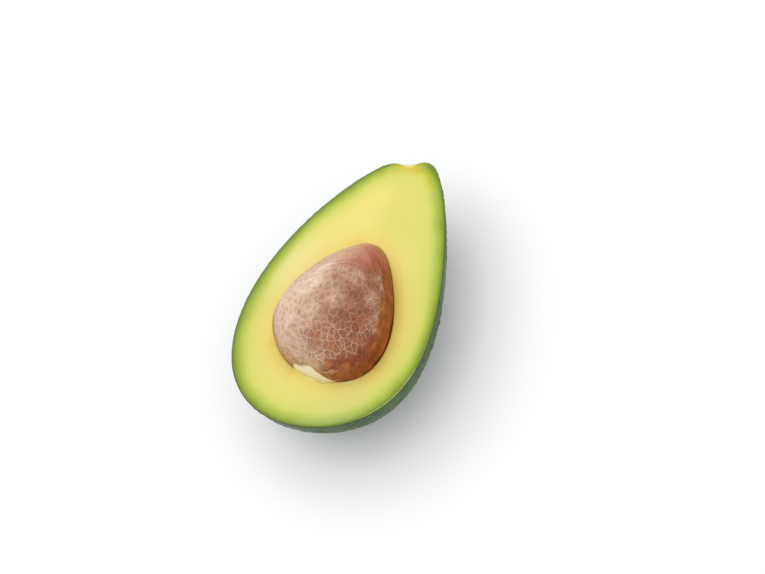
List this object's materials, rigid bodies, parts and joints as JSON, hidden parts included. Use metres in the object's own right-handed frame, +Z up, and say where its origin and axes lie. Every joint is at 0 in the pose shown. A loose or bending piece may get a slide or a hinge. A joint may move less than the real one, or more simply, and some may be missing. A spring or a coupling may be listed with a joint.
{
  "type": "avocado half",
  "caption": "Avocado half with its stone in place, lying on its skin with the flat cut face up.",
  "frame": {"origin": "middle of the small flat spot of the skin that the half rests on, on the surface it lies on", "axes": "+Z up through the level cut face, +Y along the fruit towards its stem end, +X to the right as seen from above"},
  "size_m": [0.0736, 0.1127, 0.0553],
  "materials": {
    "skin": "satin, pebbled dark green",
    "flesh": "moist satin, pale yellow going green at the skin",
    "seed_coat": "papery satin brown with a net of pale veins"
  },
  "bodies": {
    "root": {"skin": "skin", "flesh": "flesh", "seed": "seed_coat"}
  },
  "joints": []
}
